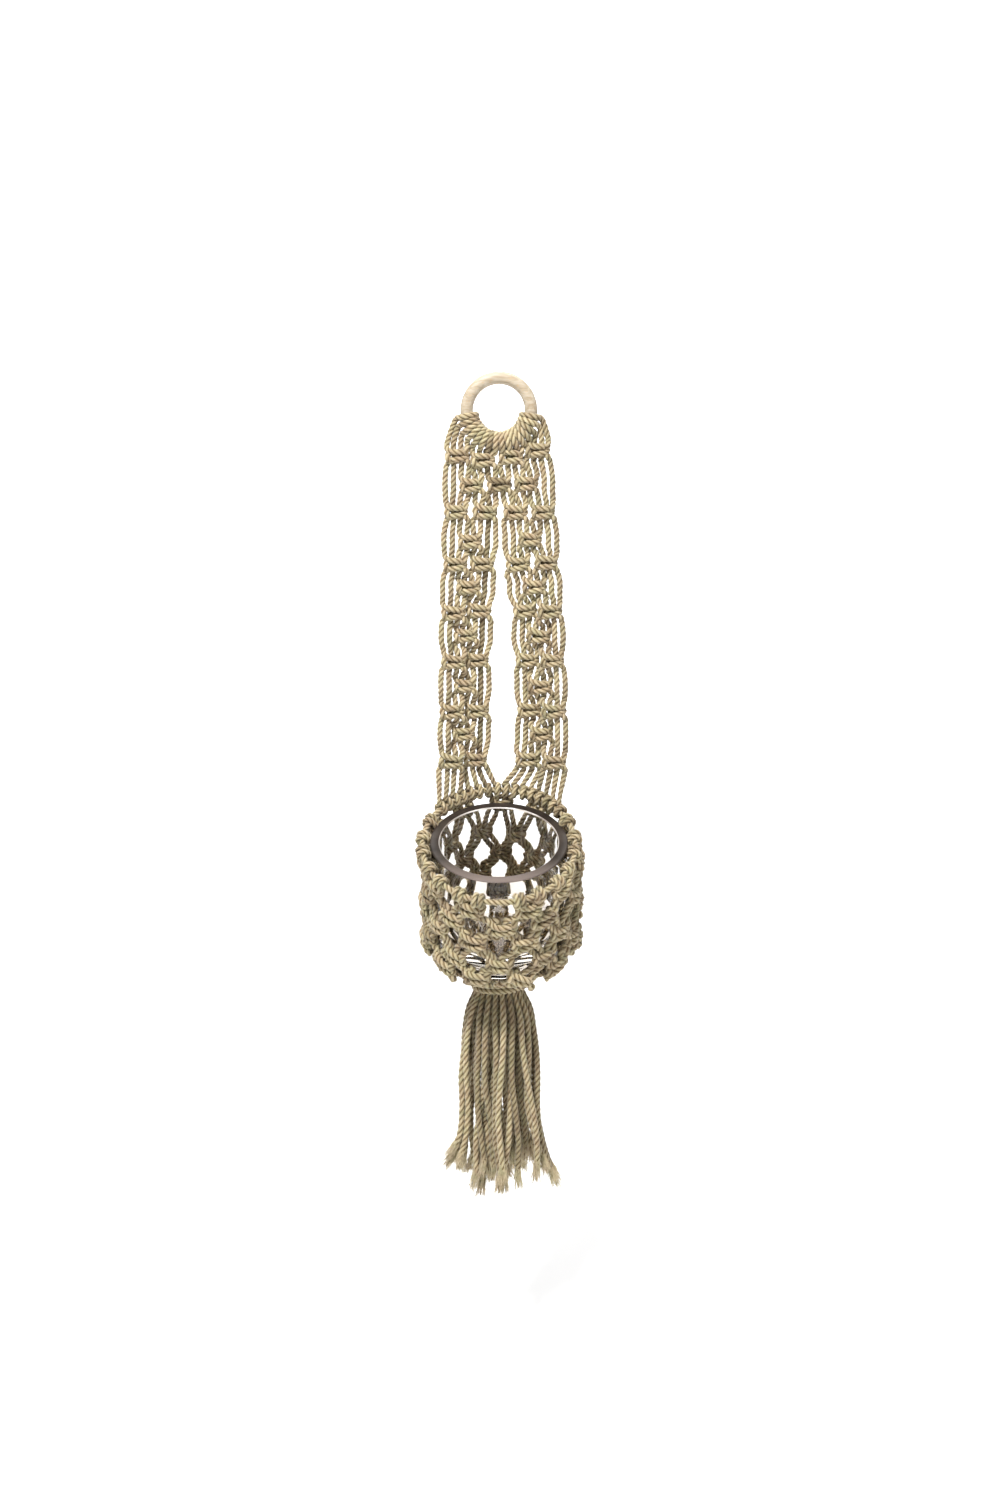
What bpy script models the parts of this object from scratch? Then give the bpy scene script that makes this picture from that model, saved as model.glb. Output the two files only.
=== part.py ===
"""Hanging macrame planter: a wooden ring, knotted cord straps, a corded rim, a net, a glass vase and a tassel.

Metres, +Z up. The origin is the inside top of the ring, where a hook bears, and the front faces -Y.
The basket hangs from the back of its rim, so the glass leans forward. Its own frame has its origin at
the middle of the underside of the glass and +Z along the glass. Azimuth there is measured from the back,
towards +X.
"""

import math

import bmesh
import bpy
from mathutils import Matrix, Vector

MM = 0.001
FIT_GAP = 0.4 * MM

# Wooden ring, standing in the XZ plane
RING_RADIUS = 23.0 * MM
RING_TUBE = 4.5 * MM
RING_CENTRE = Vector((0.0, 0.0, RING_TUBE - RING_RADIUS))
RING_SEGMENTS = 40
TUBE_SIDES = 12

# Heads of the folded cords, side by side round the lower half of the ring
LOOP_COUNT = 8
LOOP_ARC = math.radians(170.0)
LOOP_WALL = 3.8 * MM
LOOP_STEPS = 2

# Straps: each cord is a pair of strands, drawn as one tube. Lists run from the panel's top row down.
STRAP_CORD_RADIUS = 3.6 * MM
HALF_KNOT = 3.8 * MM
STRAPS_PIVOT = RING_CENTRE + Vector((0.0, 0.0, -RING_RADIUS))
ROW_HEIGHTS = [-54, -70.5, -90.5, -110.5, -127.5, -144.5, -162, -180, -198, -216.5, -235.5, -253, -272.5]
INNER_KNOTS = [9.7, 10.5, 12.0, 15.0, 16.6, 17.5, 17.2]
OUTER_KNOTS = [29.0, 32.0, 33.5, 35.3, 36.8, 37.5, 38.2]
PANEL_KNOT = 19.5 * MM
EDGE_BOW = 1.3 * MM
STRAP_TOPS = [(5.2, -51.0), (14.0, -49.4), (22.6, -45.0), (30.6, -37.8)]
SIDE_CORDS = 4

# Basket frame
GLASS_TILT = math.radians(24.5)
GLASS_BASE = Vector((0.0, 13.3 * MM, -408.0 * MM))
BASKET_PIVOT = Vector((0.0, 0.0, -311.0 * MM))

# Glass vase
GLASS_RADIUS = 50.0 * MM
GLASS_HEIGHT = 90.0 * MM
GLASS_WALL = 7.0 * MM
GLASS_FLOOR = 13.0 * MM
GLASS_FOOT_ROUND = 4.0 * MM
GLASS_FLOOR_ROUND = 9.0 * MM
GLASS_LIP_ROUND = 1.0 * MM
GLASS_SIDES = 36

# Rim cord, with the hitches on it, and the azimuths where the cords meet it
RIM_RADIUS = 55.5 * MM
RIM_THICKNESS = 4.0 * MM
RIM_HEIGHT = 87.0 * MM
RIM_LEAN = 10.8 * MM
RIM_POINTS = 44
STRAP_HITCHES = [6.95, 20.8, 34.65, 48.5]
RIM_HEADS = [66.0, 84.0, 99.0, 117.0, 132.0, 150.0, 165.0]
RIM_CLEARANCE = 5.4 * MM

# Net: rows of knots, each at a height that leans with the rim
NET_RADIUS = 54.2 * MM
NET_CORD_RADIUS = 3.4 * MM
NET_KNOTS = 11
NET_ROWS = [(77.5, 11.0), (58.0, 6.0), (40.0, 3.5), (22.5, 2.0), (6.5, 1.0)]
NET_FOOT = 1.2 * MM
NET_TOP_DROP = 1.5 * MM
FIRST_ROW_KNOTS = [0.0, 29.0, 60.5, 93.0, 125.0, 158.0]

# Under the glass
GATHER_CENTRE = Vector((0.0, 18.0 * MM, -441.0 * MM))
GATHER_MAJOR = 12.5 * MM
GATHER_MINOR = 6.0 * MM
BASE_CORD_RADIUS = 3.1 * MM
BASE_ROUTE = [(52.8, -3.8), (40.0, -3.9), (27.0, -4.4)]
BASE_END_RADIUS = 14.5 * MM
BASE_END_RISE = 13.6 * MM

# Tassel locks: (distance from the axis, depth below the gathering cord, radius) down the lock
CORE_LOCK = [(0.0, 19.5, 4.8), (0.0, 40.0, 8.0), (0.0, 90.0, 8.2), (0.0, 154.0, 8.2)]
OUTER_LOCK = [(11.8, 16.0, 5.0), (17.2, 36.0, 8.0), (20.5, 80.0, 9.0), (27.0, 140.0, 9.2)]
LOCK_LENGTHS = [24.0, 9.0, 27.0, 15.0, 22.0, 12.0]
LOCK_END_SPREAD = 3.0

WOOD_COLOUR = (0.78, 0.62, 0.42, 1.0)
CORD_COLOUR = (0.52, 0.42, 0.25, 1.0)
GLASS_COLOUR = (0.92, 0.95, 0.94, 1.0)


def clear_scene():
    for obj in list(bpy.data.objects):
        bpy.data.objects.remove(obj, do_unlink=True)


def new_collection(name):
    collection = bpy.data.collections.new(name)
    bpy.context.scene.collection.children.link(collection)
    return collection


def new_material(name, colour, roughness, transmission=0.0):
    material = bpy.data.materials.new(name)
    material.use_nodes = True
    shader = material.node_tree.nodes["Principled BSDF"]
    shader.inputs["Base Color"].default_value = colour
    shader.inputs["Roughness"].default_value = roughness
    shader.inputs["Transmission Weight"].default_value = transmission
    return material


def put_in(collection, obj, material=None):
    """Moves an object into the planter's collection and gives it its material."""
    for old in list(obj.users_collection):
        old.objects.unlink(obj)
    collection.objects.link(obj)
    if material:
        obj.data.materials.append(material)
    return obj


def new_pivot(name, location, collection, parent=None):
    pivot = bpy.data.objects.new(name, None)
    pivot.location = location
    collection.objects.link(pivot)
    if parent:
        keep_in_place(pivot, parent)
    bpy.context.view_layer.update()
    return pivot


def keep_in_place(obj, parent):
    """Parents an object without moving it."""
    obj.parent = parent
    obj.matrix_parent_inverse = parent.matrix_world.inverted()


def tube(name, points, radius, collection, material, closed=False, widths=None):
    """A round cord through the points. The widths scale its radius point by point."""
    curve = bpy.data.curves.new(name, "CURVE")
    curve.dimensions = "3D"
    curve.bevel_depth = radius
    curve.bevel_resolution = 2
    curve.use_fill_caps = True
    spline = curve.splines.new("POLY")
    spline.points.add(len(points) - 1)
    spline.use_cyclic_u = closed
    for index, point in enumerate(points):
        spline.points[index].co = (*point, 1.0)
        spline.points[index].radius = widths[index] if widths else 1.0
    return put_in(collection, bpy.data.objects.new(name, curve), material)


def shade_smooth(obj):
    obj.data.shade_smooth()
    obj.data.set_sharp_from_angle(angle=math.radians(40.0))


# Ring and its loops


def wooden_ring(collection, material):
    bpy.ops.mesh.primitive_torus_add(
        major_radius=RING_RADIUS,
        minor_radius=RING_TUBE,
        major_segments=RING_SEGMENTS,
        minor_segments=TUBE_SIDES,
        location=RING_CENTRE,
        rotation=(math.pi / 2, 0.0, 0.0),
    )
    ring = bpy.context.object
    ring.name = "wooden_ring"
    shade_smooth(ring)
    return put_in(collection, ring, material)


def ring_loop(index, collection, material):
    """The head of one folded cord: a sleeve round the ring's tube, spun about the ring's axis."""
    inner = RING_TUBE + FIT_GAP
    outer = inner + LOOP_WALL
    pitch = LOOP_ARC / LOOP_COUNT
    gap = FIT_GAP / (RING_RADIUS - outer)
    start = -LOOP_ARC / 2 + index * pitch + gap / 2
    mesh = bmesh.new()
    bmesh.ops.create_circle(mesh, segments=TUBE_SIDES, radius=inner)
    bmesh.ops.create_circle(mesh, segments=TUBE_SIDES, radius=outer)
    bmesh.ops.bridge_loops(mesh, edges=mesh.edges[:])
    across = Vector((0.0, 1.0, 0.0))
    for vert in mesh.verts:
        vert.co = Vector((0.0, vert.co.y, vert.co.x - RING_RADIUS))
    bmesh.ops.rotate(mesh, verts=mesh.verts, cent=(0, 0, 0), matrix=Matrix.Rotation(-start, 3, across))
    bmesh.ops.spin(
        mesh,
        geom=mesh.verts[:] + mesh.edges[:] + mesh.faces[:],
        angle=gap - pitch,
        steps=LOOP_STEPS,
        axis=across,
        cent=(0, 0, 0),
    )
    bmesh.ops.recalc_face_normals(mesh, faces=mesh.faces)
    name = f"ring_loop_{index + 1}"
    data = bpy.data.meshes.new(name)
    mesh.to_mesh(data)
    mesh.free()
    loop = put_in(collection, bpy.data.objects.new(name, data), material)
    loop.location = RING_CENTRE
    shade_smooth(loop)
    return loop


# Straps


def strap_offset(side, row):
    """How far from the middle the side's cord runs at a row. Side 0 is the innermost cord."""
    if row % 2 == 0:
        knot = INNER_KNOTS[row // 2] if side < 2 else OUTER_KNOTS[row // 2]
        return knot * MM + (HALF_KNOT if side % 2 else -HALF_KNOT)
    above = row // 2
    inner = (INNER_KNOTS[above] + INNER_KNOTS[above + 1]) / 2 * MM
    outer = (OUTER_KNOTS[above] + OUTER_KNOTS[above + 1]) / 2 * MM
    middle = PANEL_KNOT if row == 1 else (inner + outer) / 2
    if side == 0:
        return HALF_KNOT if row == 1 else inner - HALF_KNOT - EDGE_BOW
    if side == 3:
        return outer + HALF_KNOT + EDGE_BOW
    return middle + (HALF_KNOT if side == 2 else -HALF_KNOT)


def strap_cord(number, basket, collection, material):
    """Cord 1 is the outermost on the left, and 8 on the right."""
    right = number > SIDE_CORDS
    side = number - 1 - SIDE_CORDS if right else SIDE_CORDS - number
    sign = 1.0 if right else -1.0
    hitch = basket.matrix_world @ on_rim(sign * STRAP_HITCHES[side])
    lean = hitch.y / (STRAPS_PIVOT.z - hitch.z)
    top_x, top_z = STRAP_TOPS[side]
    flat = [(top_x * MM, top_z * MM)]
    flat += [(strap_offset(side, row), height * MM) for row, height in enumerate(ROW_HEIGHTS)]
    points = [Vector((sign * x, max(0.0, (STRAPS_PIVOT.z - z) * lean), z)) for x, z in flat]
    to_hitch = hitch - points[-1]
    reach = to_hitch.length - RIM_THICKNESS - RIM_CLEARANCE
    points.append(points[-1] + to_hitch.normalized() * reach)
    return tube(f"strap_cord_{number}", points, STRAP_CORD_RADIUS, collection, material)


# Basket: rim, net and glass, in the basket's own frame


def on_basket(azimuth, radius, height):
    """A point of the basket's frame from its azimuth in degrees, radius and height."""
    turn = math.radians(azimuth)
    return Vector((radius * math.sin(turn), radius * math.cos(turn), height))


def rim_height(azimuth):
    return RIM_HEIGHT + RIM_LEAN * math.cos(math.radians(azimuth))


def on_rim(azimuth):
    return on_basket(azimuth, RIM_RADIUS, rim_height(azimuth))


def rim_cord(collection, material):
    points = [on_rim(360.0 * index / RIM_POINTS) for index in range(RIM_POINTS)]
    return tube("rim_cord", points, RIM_THICKNESS, collection, material, closed=True)


def rim_azimuths():
    """Where the net's cords meet the rim, from the strap cord furthest left round by the right."""
    right = STRAP_HITCHES + RIM_HEADS
    return [-azimuth for azimuth in STRAP_HITCHES[::-1]] + right + [360.0 - head for head in RIM_HEADS[::-1]]


def knot_azimuth(row, knot):
    """Azimuth of a knot. Even rows have a knot at the back, odd rows one at the front."""
    even = 360.0 / NET_KNOTS
    first = FIRST_ROW_KNOTS + [360.0 - azimuth for azimuth in FIRST_ROW_KNOTS[:0:-1]]
    ease = row / (len(NET_ROWS) - 1)

    def of_first(index):
        lap, place = divmod(index, NET_KNOTS)
        return 360.0 * lap + first[place]

    if row % 2 == 0:
        return of_first(knot) * (1.0 - ease) + even * knot * ease
    between = (of_first(knot) + of_first(knot + 1)) / 2
    return between * (1.0 - ease) + even * (knot + 0.5) * ease


def net_cord(index, collection, material):
    """One folded cord's two strands down the side of the glass, from the rim to the foot."""
    azimuth = rim_azimuths()[index]
    top = rim_height(azimuth) - RIM_CLEARANCE
    points = [on_basket(azimuth, NET_RADIUS, top), on_basket(azimuth, NET_RADIUS, top - NET_TOP_DROP)]
    half = math.degrees(HALF_KNOT / NET_RADIUS)
    for row, (height, lean) in enumerate(NET_ROWS):
        if row % 2 == 0:
            knot, right = (index - 3) // 2, (index - 3) % 2
        else:
            knot, right = (index - 4) // 2, (index - 4) % 2
        middle = knot_azimuth(row, knot)
        azimuth = middle + (half if right else -half)
        rise = (height + lean * math.cos(math.radians(middle))) * MM
        points.append(on_basket(azimuth, NET_RADIUS, rise))
    points.append(on_basket(azimuth, NET_RADIUS, NET_FOOT))
    return tube(f"net_cord_{index + 1:02d}", points, NET_CORD_RADIUS, collection, material)


def base_cord(index, basket, collection, material):
    """The cords of one knot, drawn in under the glass to the gathering cord."""
    azimuth = 360.0 * index / NET_KNOTS
    points = [on_basket(azimuth, radius * MM, height * MM) for radius, height in BASE_ROUTE]
    end = GATHER_CENTRE + on_basket(azimuth, BASE_END_RADIUS, BASE_END_RISE)
    points.append(basket.matrix_world.inverted() @ end)
    return tube(f"base_cord_{index + 1:02d}", points, BASE_CORD_RADIUS, collection, material)


def quarter_turn(centre_r, centre_h, radius, start, end, steps=3):
    """Points of a rounded corner in the turned profile, by angle in degrees."""
    turns = [math.radians(start + (end - start) * step / steps) for step in range(steps + 1)]
    return [(centre_r + radius * math.cos(turn), centre_h + radius * math.sin(turn)) for turn in turns]


def glass_vase(collection, material):
    """A turned profile: floor, up the inside, over the lip, down the outside and across the underside."""
    bore = GLASS_RADIUS - GLASS_WALL
    lip = GLASS_HEIGHT - GLASS_LIP_ROUND
    profile = [(0.0, GLASS_FLOOR), (0.5 * bore, GLASS_FLOOR)]
    profile += quarter_turn(
        bore - GLASS_FLOOR_ROUND, GLASS_FLOOR + GLASS_FLOOR_ROUND, GLASS_FLOOR_ROUND, -90.0, 0.0
    )
    profile += quarter_turn(bore + GLASS_LIP_ROUND, lip, GLASS_LIP_ROUND, 180.0, 90.0, 2)
    profile += quarter_turn(GLASS_RADIUS - GLASS_LIP_ROUND, lip, GLASS_LIP_ROUND, 90.0, 0.0, 2)
    profile += quarter_turn(
        GLASS_RADIUS - GLASS_FOOT_ROUND, GLASS_FOOT_ROUND, GLASS_FOOT_ROUND, 0.0, -90.0
    )
    profile.append((0.0, 0.0))
    data = bpy.data.meshes.new("glass_vase")
    edges = [(index, index + 1) for index in range(len(profile) - 1)]
    data.from_pydata([(radius, 0.0, height) for radius, height in profile], edges, [])
    vase = put_in(collection, bpy.data.objects.new("glass_vase", data), material)
    screw = vase.modifiers.new("Turned", "SCREW")
    screw.steps = GLASS_SIDES
    screw.render_steps = GLASS_SIDES
    screw.use_merge_vertices = True
    screw.merge_threshold = 0.00001
    screw.use_smooth_shade = True
    return vase


# Gathering cord and tassel


def gather_cord(collection, material):
    bpy.ops.mesh.primitive_torus_add(
        major_radius=GATHER_MAJOR,
        minor_radius=GATHER_MINOR,
        major_segments=24,
        minor_segments=10,
        location=GATHER_CENTRE,
    )
    gather = bpy.context.object
    gather.name = "gather_cord"
    shade_smooth(gather)
    return put_in(collection, gather, material)


def tassel_lock(name, stations, turn, collection, material):
    """A lock of strands hanging from the gathering cord, at its azimuth in degrees."""
    points = [
        GATHER_CENTRE + on_basket(turn, distance * MM, -depth * MM) for distance, depth, _ in stations
    ]
    widest = max(radius for _, _, radius in stations)
    widths = [radius / widest for _, _, radius in stations]
    return tube(name, points, widest * MM, collection, material, widths=widths)


def tassel(collection, material):
    locks = [tassel_lock("tassel_lock_core", CORE_LOCK, 0.0, collection, material)]
    for index, extra in enumerate(LOCK_LENGTHS):
        distance, depth, radius = OUTER_LOCK[-1]
        end = (distance + LOCK_END_SPREAD, depth + extra, radius)
        turn = 30.0 + 60.0 * index
        name = f"tassel_lock_{index + 1}"
        locks.append(tassel_lock(name, OUTER_LOCK + [end], turn, collection, material))
    return locks


def main():
    clear_scene()
    planter = new_collection("macrame_planter")
    wood = new_material("turned_wood", WOOD_COLOUR, 0.55)
    cord = new_material("natural_cord", CORD_COLOUR, 0.9)
    glass = new_material("clear_glass", GLASS_COLOUR, 0.05, transmission=1.0)

    ring = wooden_ring(planter, wood)
    bpy.context.view_layer.update()
    for index in range(LOOP_COUNT):
        keep_in_place(ring_loop(index, planter, cord), ring)

    straps_pivot = new_pivot("straps_pivot", STRAPS_PIVOT, planter, ring)
    basket_pivot = new_pivot("basket_pivot", BASKET_PIVOT, planter, straps_pivot)
    basket = new_pivot("basket_frame", GLASS_BASE, planter)
    basket.rotation_euler = (GLASS_TILT, 0.0, 0.0)
    keep_in_place(basket, basket_pivot)
    bpy.context.view_layer.update()

    for number in range(1, 2 * SIDE_CORDS + 1):
        keep_in_place(strap_cord(number, basket, planter, cord), straps_pivot)

    rim_cord(planter, cord).parent = basket
    for index in range(len(rim_azimuths())):
        net_cord(index, planter, cord).parent = basket
    for index in range(NET_KNOTS):
        base_cord(index, basket, planter, cord).parent = basket
    glass_vase(planter, glass).parent = basket

    keep_in_place(gather_cord(planter, cord), basket_pivot)
    tassel_pivot = new_pivot("tassel_pivot", GATHER_CENTRE, planter, basket_pivot)
    for lock in tassel(planter, cord):
        keep_in_place(lock, tassel_pivot)


main()
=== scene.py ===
"""The looks of the hanging macrame planter.

Every cord is swept along its real route as a three-ply twisted cord, strand by strand: over the ring,
through the square knots of the panel and straps, round the rim, through the net, and down the tassel.
Lengths are metres and +Z is up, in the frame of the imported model. The front faces -Y.
"""

import math

import bpy
import numpy as np
from mathutils import Matrix, Vector


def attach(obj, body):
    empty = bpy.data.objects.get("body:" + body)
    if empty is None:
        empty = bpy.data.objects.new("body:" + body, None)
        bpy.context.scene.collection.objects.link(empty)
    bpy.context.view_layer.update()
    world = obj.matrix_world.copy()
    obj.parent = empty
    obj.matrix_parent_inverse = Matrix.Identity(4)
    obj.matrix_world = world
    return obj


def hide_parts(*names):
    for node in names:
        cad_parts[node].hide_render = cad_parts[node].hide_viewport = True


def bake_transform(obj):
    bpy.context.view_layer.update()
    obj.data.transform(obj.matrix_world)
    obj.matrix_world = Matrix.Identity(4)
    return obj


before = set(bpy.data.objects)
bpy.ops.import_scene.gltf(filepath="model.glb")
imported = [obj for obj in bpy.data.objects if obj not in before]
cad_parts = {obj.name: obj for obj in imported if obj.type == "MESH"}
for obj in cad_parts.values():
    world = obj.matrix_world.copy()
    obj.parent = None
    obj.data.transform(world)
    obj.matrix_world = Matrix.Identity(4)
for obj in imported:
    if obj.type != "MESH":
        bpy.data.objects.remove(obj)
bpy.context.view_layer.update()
RANDOM = np.random.default_rng(11)
MM = 0.001

# Cord. A knot's own units are one cord across, up and ahead. PLY_REACH is how far out a ply's middle lies,
# as a share of the cord's radius
CORD = 4.85 * MM
SIDES = 12
STEP = 1.2 * MM
TWIST_PITCH = 12.0 * MM
PLY_REACH = 0.38
KNOT_ACROSS = 4.6 * MM
KNOT_UP = 4.9 * MM
KNOT_AHEAD = 4.7 * MM
UNEVEN = 0.45 * MM

# Stray hairs, and how far one may stand from its cord's middle line
HAIR_RADIUS = 0.075 * MM
HAIR_LENGTH = 4.5 * MM
HAIR_SPACING = 9.0 * MM
FIBRE_REACH = 4.5 * MM

# Ring, and the arc in degrees that the strands cover round its lower half
RING_RADIUS = 23.0 * MM
RING_TUBE = 4.5 * MM
RING_CENTRE = np.array([0.0, 0.0, RING_TUBE - RING_RADIUS])
HEAD_ARC = 170.0
STRANDS = 16
STRAP_PAIRS = STRANDS // 2

# Straps, from the panel's top row down, in millimetres. Knots stand in two columns on each side, and the
# cords between two knotted rows run EDGE_GAP beyond the column, EDGE_SPREAD apart from their middle
ROWS = [-54, -70.5, -90.5, -110.5, -127.5, -144.5, -162, -180, -198, -216.5, -235.5, -253, -272.5]
INNER_KNOTS = [9.9, 11.0, 13.0, 16.4, 18.4, 19.6, 19.4]
OUTER_KNOTS = [28.6, 31.4, 32.9, 34.9, 36.5, 37.3, 38.0]
PANEL_KNOT = 19.5
EDGE_GAP = 5.6
EDGE_SPREAD = 3.0
SIDE_DRIFT = [-0.8, 0.7, 1.4, 2.0, 2.7, 3.2, 2.6]
TOP_ROW_RISE = [3.5, 0.5, 3.0, 7.5]

# Basket frame: the glass's base, and the directions across, behind and along its axis
TILT = math.radians(24.5)
BASE = np.array([0.0, 13.3 * MM, -408.0 * MM])
ACROSS = np.array([1.0, 0.0, 0.0])
BACK = np.array([0.0, math.cos(TILT), math.sin(TILT)])
ALONG = np.array([0.0, -math.sin(TILT), math.cos(TILT)])
STRAPS_TOP_Z = -41.5 * MM

# Glass
GLASS_RADIUS = 50.0 * MM
GLASS_HEIGHT = 90.0 * MM
GLASS_WALL = 7.0 * MM
GLASS_FLOOR = 13.0 * MM
GLASS_EASE = 1.0 * MM

# Rim and net. Azimuths are in degrees from the back, and a net row is its height on the glass in millimetres
# and how much higher it is at the back than half way round
RIM_RADIUS = 55.5 * MM
RIM_HEIGHT = 87.0 * MM
RIM_LEAN = 10.8 * MM
HITCH_PITCH = 6.93
HITCH_SHIFT = 2.0
HITCH_REACH = 4.3 * MM
HITCH_HALF_WIDTH = 1.7 * MM
RIM_HEADS = [66.0, 84.0, 99.0, 117.0, 132.0, 150.0, 165.0]
HEAD_REACH = 3.9 * MM
HEAD_HALF_WIDTH = 2.15 * MM
NET_RADIUS = 54.2 * MM
NET_DEPTH = 0.66
RIGHT_BULGE = 3.5 * MM
KNOTS_ROUND = 11
NET_ROWS = [(77.0, 11.0), (58.0, 6.0), (40.0, 3.5), (22.5, 2.0), (6.5, 1.0)]
FIRST_ROW_KNOTS = [0.0, 29.0, 60.5, 93.0, 125.0, 158.0]
BASE_ROW = len(NET_ROWS)
PAIRS = 2 * KNOTS_ROUND

# Some drop less than the others
GATHER = np.array([0.0, 18.0 * MM, -441.0 * MM])
WRAP_RADIUS = 18.6 * MM
WRAP_TURNS = 3
TAIL = 5.0 * MM
TAIL_PITCH = 15.0 * MM
TAIL_DROP = 152.0
SHORTER = 13.0
DECLARED = 40

# A square knot's four strands from top to bottom, in cord diameters: across, up, towards the viewer
KNOT_LEFT = [
    (-1.65, 1.4, 0.0), (-1.4, 0.85, 0.4), (-0.5, 0.6, 0.95), (0.5, 0.52, 0.95), (1.2, 0.35, 0.3),
    (1.6, 0.0, 0.05), (1.2, -0.35, 0.5), (0.4, -0.52, 0.95), (-0.5, -0.62, 0.85), (-1.2, -0.7, 0.2),
    (-1.65, -1.0, -0.1), (-1.8, -1.4, 0.0),
]
KNOT_RIGHT = [
    (1.65, 1.4, 0.1), (1.5, 0.8, 0.75), (1.2, 0.3, -0.1), (0.4, 0.1, -0.9), (-0.5, 0.25, -0.9),
    (-1.2, 0.5, -0.3), (-1.5, 0.2, 0.6), (-1.5, -0.3, 0.8), (-1.2, -0.75, 0.1), (-0.4, -0.7, -0.85),
    (0.5, -0.55, -0.9), (1.2, -0.6, -0.3), (1.5, -0.75, 0.6), (1.7, -1.05, 0.3), (1.8, -1.4, 0.0),
]
KNOT_FILLERS = [[(side, up, 0.0) for up in (1.4, 0.6, -0.6, -1.4)] for side in (-0.55, 0.55)]


# Cord geometry


def section():
    """Angles round a three-ply cord, and how far it reaches at each."""
    angles = np.arange(SIDES) * 2 * math.pi / SIDES
    off = (angles + math.pi / 3) % (2 * math.pi / 3) - math.pi / 3
    ply = 1.0 - PLY_REACH
    return angles, PLY_REACH * np.cos(off) + np.sqrt(ply**2 - (PLY_REACH * np.sin(off)) ** 2)


ANGLES, SECTION = section()


def smooth(points, step=STEP):
    """A centripetal Catmull-Rom curve through the points, and where each point falls on it."""
    points = np.array(points, float)
    padded = np.vstack([2 * points[0] - points[1], points, 2 * points[-1] - points[-2]])
    path, marks = [], [0]
    for index in range(len(points) - 1):
        four = padded[index : index + 4]
        gaps = np.sqrt(np.maximum(np.linalg.norm(np.diff(four, axis=0), axis=1), 1e-7))
        t0, t1, t2, t3 = np.concatenate([[0.0], np.cumsum(gaps)])
        count = max(1, round(float(gaps[1] ** 2) / step))
        t = np.linspace(t1, t2, count, endpoint=False)[:, None]
        a1 = (four[0] * (t1 - t) + four[1] * (t - t0)) / (t1 - t0)
        a2 = (four[1] * (t2 - t) + four[2] * (t - t1)) / (t2 - t1)
        a3 = (four[2] * (t3 - t) + four[3] * (t - t2)) / (t3 - t2)
        b1 = (a1 * (t2 - t) + a2 * (t - t0)) / (t2 - t0)
        b2 = (a2 * (t3 - t) + a3 * (t - t1)) / (t3 - t1)
        path.append((b1 * (t2 - t) + b2 * (t - t1)) / (t2 - t1))
        marks.append(marks[-1] + count)
    path = np.vstack([*path, points[-1:]])
    for _ in range(2):
        path[1:-1] = (path[:-2] + 2 * path[1:-1] + path[2:]) / 4
    return path, marks


def unevenly(points, amount):
    """The points, each moved a little at random, as hand-tied cord lies."""
    return [point + RANDOM.normal(0, amount, 3) for point in points]


def lengths(path):
    """How far along the path each of its points is."""
    return np.concatenate([[0.0], np.cumsum(np.linalg.norm(np.diff(path, axis=0), axis=1))])


def frames(path):
    """The tangent at each point, and two directions across it that turn as little as they can."""
    tangent = np.gradient(path, axis=0)
    tangent /= np.linalg.norm(tangent, axis=1)[:, None]
    normal = np.empty_like(path)
    guess = np.cross(tangent[0], (0.31, 0.87, 0.11))
    for index, ahead in enumerate(tangent):
        guess = guess - ahead * guess.dot(ahead)
        guess = guess / math.sqrt(guess.dot(guess))
        normal[index] = guess
    return tangent, normal, np.cross(tangent, normal)


def drawn_thin(path):
    """How thick a strand is at each point: full on the straps, thin at the rim, and slack in the net."""
    from_base = path - BASE
    height, depth = from_base @ ALONG, from_base @ BACK
    below_rim = np.clip((RIM_HEIGHT - 6 * MM - height) / (8 * MM), 0.0, 1.0)
    at_rim = np.clip((RIM_HEIGHT + 22 * MM - height) / (6 * MM), 0.0, 1.0) * (1.0 - below_rim)
    front = np.clip(0.5 - depth / NET_RADIUS, 0.0, 1.0)
    return 1.0 + below_rim * (0.09 * front + 0.02) - 0.16 * at_rim


class Strand:
    """One strand of cord, swept whole, which pieces then take stretches of."""

    def __init__(self, points, diameter=CORD, pitch=TWIST_PITCH, widths=None, slack=False):
        self.path, self.marks = smooth(points)
        self.along = lengths(self.path)
        self.axes = frames(self.path)
        self.tone = float(RANDOM.uniform(0.0, 1.0))
        self.diameter = diameter
        turn = RANDOM.uniform(0, 2 * math.pi) + 2 * math.pi * self.along / pitch
        angle = turn[:, None] + ANGLES[None, :]
        wide = np.ones(len(self.path)) if widths is None else widths(self.along / self.along[-1])
        if slack:
            wide = wide * drawn_thin(self.path)
        uneven = 1.0 + 0.04 * np.sin(self.along / (7.3 * MM) + 6 * self.tone)
        reach = diameter / 2 * SECTION[None, :] * (wide * uneven)[:, None]
        _, normal, side = self.axes
        self.rings = (
            self.path[:, None, :]
            + (reach * np.cos(angle))[..., None] * normal[:, None, :]
            + (reach * np.sin(angle))[..., None] * side[:, None, :]
        )

    def stretch(self, first, last):
        """The rings between two of the route's own points."""
        return self.rings[first : last + 1], self.along[first : last + 1], self.tone


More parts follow.
